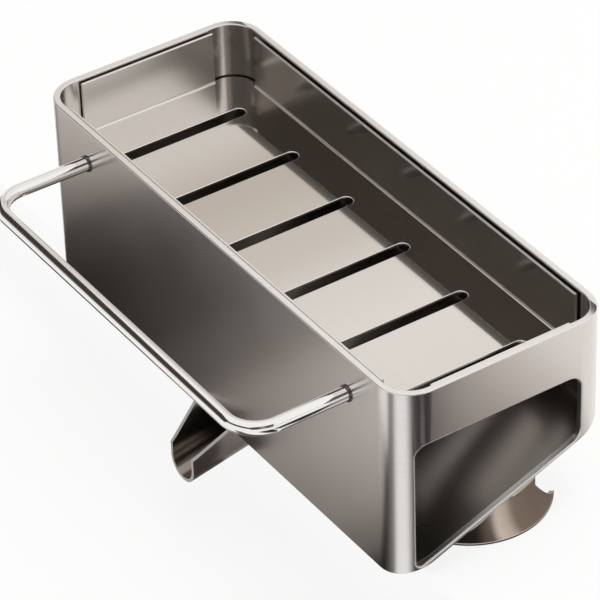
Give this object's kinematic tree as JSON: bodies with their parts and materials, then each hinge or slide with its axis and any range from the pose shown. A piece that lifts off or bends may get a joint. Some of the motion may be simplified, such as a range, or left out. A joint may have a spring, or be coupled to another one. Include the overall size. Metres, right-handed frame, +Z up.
{
  "type": "sponge holder",
  "caption": "Long sheet-metal sponge holder with rounded corners, a slotted lift-out tray, a sloped floor with a drain spout, a bar for the dishcloth in front and curved sheet legs.",
  "frame": {"origin": "on the counter, under the middle of the box", "axes": "+X along the long side to the right end, +Y to the back, +Z up; the cloth bar and the spout face -Y"},
  "size_m": [0.26, 0.149, 0.1136],
  "materials": {
    "satin_steel": "satin",
    "tray_steel": "satin",
    "polished_rod": "polished",
    "screw_steel": "plain",
    "sole_rubber": "matte"
  },
  "bodies": {
    "holder": {"body_shell": "satin_steel", "floor_pan": "satin_steel", "tray_rests": "satin_steel", "cloth_bar": "polished_rod", "bar_collars": "polished_rod", "bar_screws": "screw_steel", "drain_spout": "satin_steel", "right_leg": "satin_steel", "left_leg": "satin_steel", "leg_soles": "sole_rubber"},
    "tray": {"drain_tray": "tray_steel"}
  },
  "joints": [
    {"name": "tray_lift", "type": "slide", "parent": "holder", "child": "tray", "axis": [0, 0, 1], "range_m": [0, 0.08]}
  ]
}
